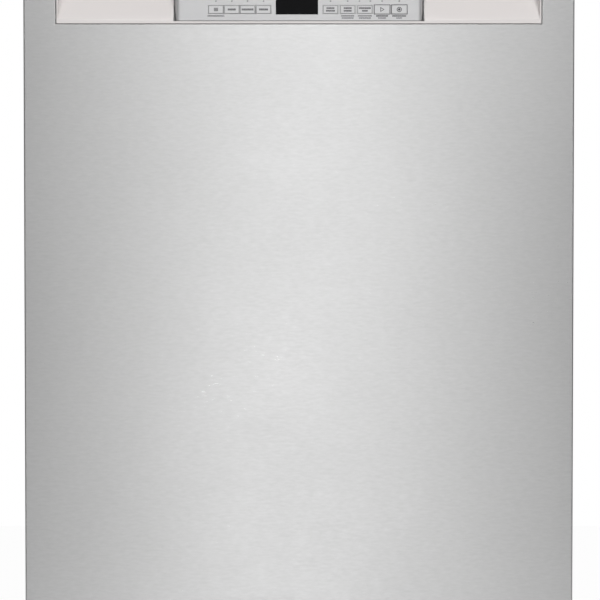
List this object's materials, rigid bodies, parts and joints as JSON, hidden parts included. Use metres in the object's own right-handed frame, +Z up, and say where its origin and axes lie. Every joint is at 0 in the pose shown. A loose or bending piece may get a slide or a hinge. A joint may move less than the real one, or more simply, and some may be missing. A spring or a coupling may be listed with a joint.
{
  "type": "built-in dishwasher",
  "caption": "Built-in dishwasher with a brushed steel drop-down door, full-width recessed pocket handle, keyed console island, steel tub, racks and spray arms.",
  "frame": {"origin": "on the floor in the middle of the footprint", "axes": "+Z up, the door faces -Y, +X to the right seen from the front"},
  "size_m": [0.606, 0.622, 0.87],
  "materials": {
    "front_steel": "brushed along the width",
    "tub_steel": "satin drawn sheet",
    "zinc_steel": "galvanised",
    "seal_rubber": "matt",
    "felt": "needled felt",
    "damping_pad": "bitumen",
    "base_plastic": "moulded",
    "toe_paint": "satin black",
    "pump_case": "satin",
    "pocket_plastic": "fine texture",
    "fascia_silver": "satin silver",
    "key_silver": "satin silver",
    "display_glass": "polished black",
    "board_green": "laminate",
    "lamp_lens": "clear",
    "grey_plastic": "moulded",
    "spray_plastic": "moulded",
    "white_plastic": "moulded",
    "rack_coat": "nylon dipped",
    "screw_steel": "plated",
    "heater_steel": "oxidised"
  },
  "bodies": {
    "cabinet": {"tub": "tub_steel", "tub_gasket": "seal_rubber", "insulation_blanket": "felt", "base_frame": "base_plastic", "levelling_legs": "zinc_steel", "toe_panel": "toe_paint", "mounting_brackets": "zinc_steel", "door_strike": "zinc_steel", "sump": "base_plastic", "filter_plate": "tub_steel", "heater_element": "heater_steel", "wash_pump": "pump_case", "drain_pump": "pump_case", "drain_outlet": "base_plastic", "inlet_valve": "white_plastic", "junction_box": "zinc_steel", "spray_riser": "spray_plastic", "rack_rails": "zinc_steel", "hinge_brackets": "zinc_steel", "counter_springs": "screw_steel"},
    "filter_cup": {"filter_cup": "grey_plastic"},
    "float_dome": {"float_dome": "grey_plastic"},
    "lower_spray_arm": {"lower_spray_arm": "spray_plastic"},
    "top_spinner": {"top_spinner": "spray_plastic"},
    "pull_rods": {"pull_rods": "zinc_steel"},
    "door": {"door_panel": "front_steel", "door_liner": "tub_steel", "pocket_housing": "pocket_plastic", "control_fascia": "fascia_silver", "display_window": "display_glass", "control_board": "board_green", "indicator_lights": "lamp_lens", "sound_pad": "damping_pad", "hinge_arms": "zinc_steel", "latch_housing": "grey_plastic", "door_screws": "screw_steel", "bottom_seal": "seal_rubber", "dispenser_body": "grey_plastic"},
    "latch_pawl": {"latch_pawl": "white_plastic"},
    "dispenser_lid": {"dispenser_lid": "grey_plastic"},
    "rinse_cap": {"rinse_cap": "grey_plastic"},
    "mid_rails": {"mid_rails": "zinc_steel"},
    "upper_rack": {"upper_rack": "rack_coat", "rack_slides": "zinc_steel", "upper_manifold": "spray_plastic"},
    "upper_spray_arm": {"upper_spray_arm": "spray_plastic"},
    "cup_shelf": {"cup_shelf": "rack_coat"},
    "lower_rack": {"lower_rack": "rack_coat"},
    "front_wheels": {"front_wheels": "white_plastic"},
    "rear_wheels": {"rear_wheels": "white_plastic"},
    "cutlery_basket": {"cutlery_basket": "grey_plastic"},
    "key_1": {"key_1": "key_silver"},
    "key_2": {"key_2": "key_silver"},
    "key_3": {"key_3": "key_silver"},
    "key_4": {"key_4": "key_silver"},
    "key_5": {"key_5": "key_silver"},
    "key_6": {"key_6": "key_silver"},
    "key_7": {"key_7": "key_silver"},
    "key_8": {"key_8": "key_silver"},
    "key_9": {"key_9": "key_silver"}
  },
  "joints": [
    {"name": "door_hinge", "type": "hinge", "parent": "cabinet", "child": "door", "pos_m": [0, -0.25, 0.118], "axis": [1, 0, 0], "range_deg": [0, 90], "stiffness_Nm_per_rad": 22, "springref_deg": -17.19},
    {"name": "pull_rod_slide", "type": "slide", "parent": "cabinet", "child": "pull_rods", "axis": [0, -1, 0], "range_m": [0, 0.0425], "deforming": ["counter_springs"]},
    {"name": "mid_rail_slide", "type": "slide", "parent": "cabinet", "child": "mid_rails", "axis": [0, -1, 0], "range_m": [0, 0.225]},
    {"name": "upper_rack_slide", "type": "slide", "parent": "mid_rails", "child": "upper_rack", "axis": [0, -1, 0], "range_m": [0, 0.225]},
    {"name": "lower_rack_slide", "type": "slide", "parent": "cabinet", "child": "lower_rack", "axis": [0, -1, 0], "range_m": [0, 0.2045]},
    {"name": "front_wheel_roll", "type": "hinge", "parent": "lower_rack", "child": "front_wheels", "pos_m": [0, -0.022, 0.156], "axis": [1, 0, 0], "range_deg": [0, 660]},
    {"name": "rear_wheel_roll", "type": "hinge", "parent": "lower_rack", "child": "rear_wheels", "pos_m": [0, 0.19, 0.156], "axis": [1, 0, 0], "range_deg": [0, 660]},
    {"name": "basket_lift", "type": "slide", "parent": "lower_rack", "child": "cutlery_basket", "axis": [0, 0, 1], "range_m": [0, 0.07]},
    {"name": "cup_shelf_fold", "type": "hinge", "parent": "upper_rack", "child": "cup_shelf", "pos_m": [-0.246, 0, 0.612], "axis": [0, -1, 0], "range_deg": [0, 90]},
    {"name": "lower_arm_spin", "type": "hinge", "parent": "cabinet", "child": "lower_spray_arm", "pos_m": [0, 0.02, 0.156], "axis": [0, 0, 1], "continuous": true},
    {"name": "upper_arm_spin", "type": "hinge", "parent": "upper_rack", "child": "upper_spray_arm", "pos_m": [0, 0.02, 0.482], "axis": [0, 0, 1], "continuous": true},
    {"name": "top_spinner_spin", "type": "hinge", "parent": "cabinet", "child": "top_spinner", "pos_m": [0, 0.02, 0.806], "axis": [0, 0, 1], "continuous": true},
    {"name": "filter_turn", "type": "hinge", "parent": "cabinet", "child": "filter_cup", "pos_m": [0.046, 0.02, 0.11], "axis": [0, 0, 1], "range_deg": [0, 90]},
    {"name": "float_lift", "type": "slide", "parent": "cabinet", "child": "float_dome", "axis": [0, 0, 1], "range_m": [0, 0.008]},
    {"name": "lid_slide", "type": "slide", "parent": "door", "child": "dispenser_lid", "axis": [0, 0, 1], "range_m": [0, 0.085]},
    {"name": "rinse_cap_turn", "type": "hinge", "parent": "door", "child": "rinse_cap", "pos_m": [0.046, -0.2568, 0.49], "axis": [0, -1, 0], "range_deg": [0, 90]},
    {"name": "pawl_pivot", "type": "hinge", "parent": "door", "child": "latch_pawl", "pos_m": [0, -0.278, 0.8427], "axis": [-1, 0, 0], "range_deg": [0, 18], "stiffness_Nm_per_rad": 0.02, "springref_deg": -17.19},
    {"name": "key_1_press", "type": "slide", "parent": "door", "child": "key_1", "axis": [0, 1, 0], "range_m": [0, 0.0008], "stiffness_N_per_m": 1500, "springref_m": -0.0004},
    {"name": "key_2_press", "type": "slide", "parent": "door", "child": "key_2", "axis": [0, 1, 0], "range_m": [0, 0.0008], "stiffness_N_per_m": 1500, "springref_m": -0.0004},
    {"name": "key_3_press", "type": "slide", "parent": "door", "child": "key_3", "axis": [0, 1, 0], "range_m": [0, 0.0008], "stiffness_N_per_m": 1500, "springref_m": -0.0004},
    {"name": "key_4_press", "type": "slide", "parent": "door", "child": "key_4", "axis": [0, 1, 0], "range_m": [0, 0.0008], "stiffness_N_per_m": 1500, "springref_m": -0.0004},
    {"name": "key_5_press", "type": "slide", "parent": "door", "child": "key_5", "axis": [0, 1, 0], "range_m": [0, 0.0008], "stiffness_N_per_m": 1500, "springref_m": -0.0004},
    {"name": "key_6_press", "type": "slide", "parent": "door", "child": "key_6", "axis": [0, 1, 0], "range_m": [0, 0.0008], "stiffness_N_per_m": 1500, "springref_m": -0.0004},
    {"name": "key_7_press", "type": "slide", "parent": "door", "child": "key_7", "axis": [0, 1, 0], "range_m": [0, 0.0008], "stiffness_N_per_m": 1500, "springref_m": -0.0004},
    {"name": "key_8_press", "type": "slide", "parent": "door", "child": "key_8", "axis": [0, 1, 0], "range_m": [0, 0.0008], "stiffness_N_per_m": 1500, "springref_m": -0.0004},
    {"name": "key_9_press", "type": "slide", "parent": "door", "child": "key_9", "axis": [0, 1, 0], "range_m": [0, 0.0008], "stiffness_N_per_m": 1500, "springref_m": -0.0004}
  ],
  "couplings": [
    {"joint": "pull_rod_slide", "follows": "door_hinge", "m_per_rad": 0.027},
    {"joint": "mid_rail_slide", "follows": "door_hinge", "m_per_rad": 0.1432},
    {"joint": "upper_rack_slide", "follows": "door_hinge", "m_per_rad": 0.1432},
    {"joint": "lower_rack_slide", "follows": "door_hinge", "m_per_rad": 0.13},
    {"joint": "front_wheel_roll", "follows": "door_hinge", "ratio": 7.2222},
    {"joint": "rear_wheel_roll", "follows": "door_hinge", "ratio": 7.2222}
  ]
}
